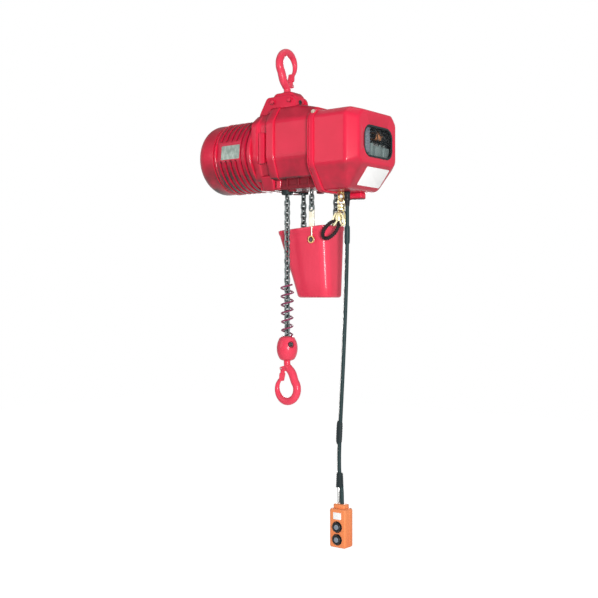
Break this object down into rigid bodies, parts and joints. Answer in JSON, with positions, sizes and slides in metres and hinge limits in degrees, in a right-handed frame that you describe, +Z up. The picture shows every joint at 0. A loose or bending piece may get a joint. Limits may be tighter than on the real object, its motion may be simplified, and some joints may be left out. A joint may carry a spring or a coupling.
{
  "type": "electric chain hoist",
  "caption": "Red electric chain hoist with a top hook, finned motor, angular control cover with a window, chain bucket, sprung bottom hook and an orange push-button pendant.",
  "frame": {"origin": "saddle of the top hook, straight above the load chain", "axes": "+Z up, +X along the motor towards the control cover, -Y the front"},
  "size_m": [0.6524, 0.2704, 1.5728],
  "materials": {
    "red_cast": "painted, gloss",
    "red_paint": "gloss",
    "chain_steel": "dark, oiled",
    "bright_steel": "bright",
    "zinc": "zinc plated",
    "brass": "yellow plated",
    "plum_spring": "satin",
    "black_rubber": "matte",
    "black_plastic": "satin",
    "clear": "clear",
    "orange_plastic": "satin",
    "grey_plastic": "matte",
    "copper": "lacquered windings",
    "laminated_steel": "laminated"
  },
  "bodies": {
    "hoist": {"hoist_body": "red_cast", "motor_flange": "red_cast", "motor_frame": "red_cast", "motor_end_cap": "red_cast", "stator_core": "laminated_steel", "brake_coil": "copper", "rear_bearing": "bright_steel", "sheave_bearing_left": "bright_steel", "sheave_bearing_right": "bright_steel", "gear_cover": "red_cast", "control_cover": "red_paint", "window_gasket": "black_rubber", "window_lens": "clear", "contactor_up": "grey_plastic", "contactor_down": "grey_plastic", "transformer": "copper", "terminal_strip": "grey_plastic", "suspension_bracket": "red_paint", "bracket_bolt_left": "bright_steel", "bracket_bolt_right": "bright_steel", "chain_bucket": "red_paint", "chain_heap": "chain_steel", "front_hanger": "zinc", "rear_hanger": "zinc", "front_hanger_bolt": "zinc", "rear_hanger_bolt": "zinc", "cable_gland": "black_plastic", "cable_shackle": "brass", "snap_hook": "brass", "safety_loop": "black_rubber", "cable_upper": "black_rubber"},
    "rotor": {"rotor_shaft": "bright_steel", "rotor_core": "laminated_steel", "brake_disc": "chain_steel"},
    "intermediate": {"intermediate_gear": "chain_steel"},
    "sheave": {"load_sheave": "chain_steel", "load_gear": "chain_steel", "sheave_chain": "chain_steel"},
    "load": {"load_chain": "chain_steel", "limit_spring": "plum_spring", "block_half_left": "red_paint", "block_half_right": "red_paint", "block_bolt": "chain_steel"},
    "slack": {"slack_chain": "chain_steel"},
    "striker": {"limit_striker": "black_rubber"},
    "lower_hook": {"bottom_hook": "red_paint", "bottom_hook_nut": "bright_steel", "bottom_latch_pin": "bright_steel"},
    "lower_latch": {"bottom_latch": "bright_steel"},
    "upper_hook": {"top_hook": "red_paint", "top_hook_nut": "bright_steel", "top_latch_pin": "bright_steel"},
    "upper_latch": {"top_latch": "bright_steel"},
    "pendant": {"pendant_cable": "black_rubber", "strain_wire": "bright_steel", "pendant_boot": "black_rubber", "pendant_front": "orange_plastic", "pendant_back": "orange_plastic"},
    "up_push": {"up_button": "black_plastic"},
    "down_push": {"down_button": "black_plastic"}
  },
  "joints": [
    {"name": "hoist_travel", "type": "slide", "parent": "hoist", "child": "load", "axis": [0, 0, 1], "range_m": [-0.06, 0.08]},
    {"name": "slack_travel", "type": "slide", "parent": "hoist", "child": "slack", "axis": [0, 0, 1], "range_m": [-0.0805, 0.0605]},
    {"name": "sheave_turn", "type": "hinge", "parent": "hoist", "child": "sheave", "pos_m": [0, 0.04367, -0.304], "axis": [1, 0, 0], "range_deg": [-106, 80]},
    {"name": "intermediate_turn", "type": "hinge", "parent": "hoist", "child": "intermediate", "pos_m": [0, 0.07581, -0.2657], "axis": [1, 0, 0], "range_deg": [-185, 246]},
    {"name": "rotor_turn", "type": "hinge", "parent": "hoist", "child": "rotor", "pos_m": [0, 0.04367, -0.304], "axis": [1, 0, 0], "range_deg": [-737, 554]},
    {"name": "top_hook_swivel", "type": "hinge", "parent": "hoist", "child": "upper_hook", "pos_m": [0, 0, -0.118], "axis": [0, 0, 1], "continuous": true},
    {"name": "top_latch_pivot", "type": "hinge", "parent": "upper_hook", "child": "upper_latch", "pos_m": [0, 0.0175, -0.092], "axis": [1, 0, 0], "range_deg": [0, 50], "stiffness_Nm_per_rad": 0.05, "springref_deg": -11.46},
    {"name": "bottom_hook_swivel", "type": "hinge", "parent": "load", "child": "lower_hook", "pos_m": [0, 0, -0.971], "axis": [0, 0, 1], "continuous": true},
    {"name": "bottom_latch_pivot", "type": "hinge", "parent": "lower_hook", "child": "lower_latch", "pos_m": [-0.0175, 0, -0.997], "axis": [0, -1, 0], "range_deg": [0, 50], "stiffness_Nm_per_rad": 0.05, "springref_deg": -11.46},
    {"name": "limit_striker_push", "type": "slide", "parent": "hoist", "child": "striker", "axis": [0, 0, 1], "range_m": [0, 0.008], "stiffness_N_per_m": 200},
    {"name": "pendant_swing", "type": "hinge", "parent": "hoist", "child": "pendant", "pos_m": [0.203, 0.04367, -0.55], "axis": [1, 0, 0], "range_deg": [-15, 15]},
    {"name": "up_button_push", "type": "slide", "parent": "pendant", "child": "up_push", "axis": [0, 1, 0], "range_m": [0, 0.004], "stiffness_N_per_m": 300},
    {"name": "down_button_push", "type": "slide", "parent": "pendant", "child": "down_push", "axis": [0, 1, 0], "range_m": [0, 0.004], "stiffness_N_per_m": 300}
  ],
  "couplings": [
    {"joint": "slack_travel", "follows": "hoist_travel", "ratio": -1},
    {"joint": "sheave_turn", "follows": "hoist_travel", "rad_per_m": -22.9},
    {"joint": "intermediate_turn", "follows": "hoist_travel", "rad_per_m": 53.432},
    {"joint": "rotor_turn", "follows": "hoist_travel", "rad_per_m": -160.3}
  ]
}
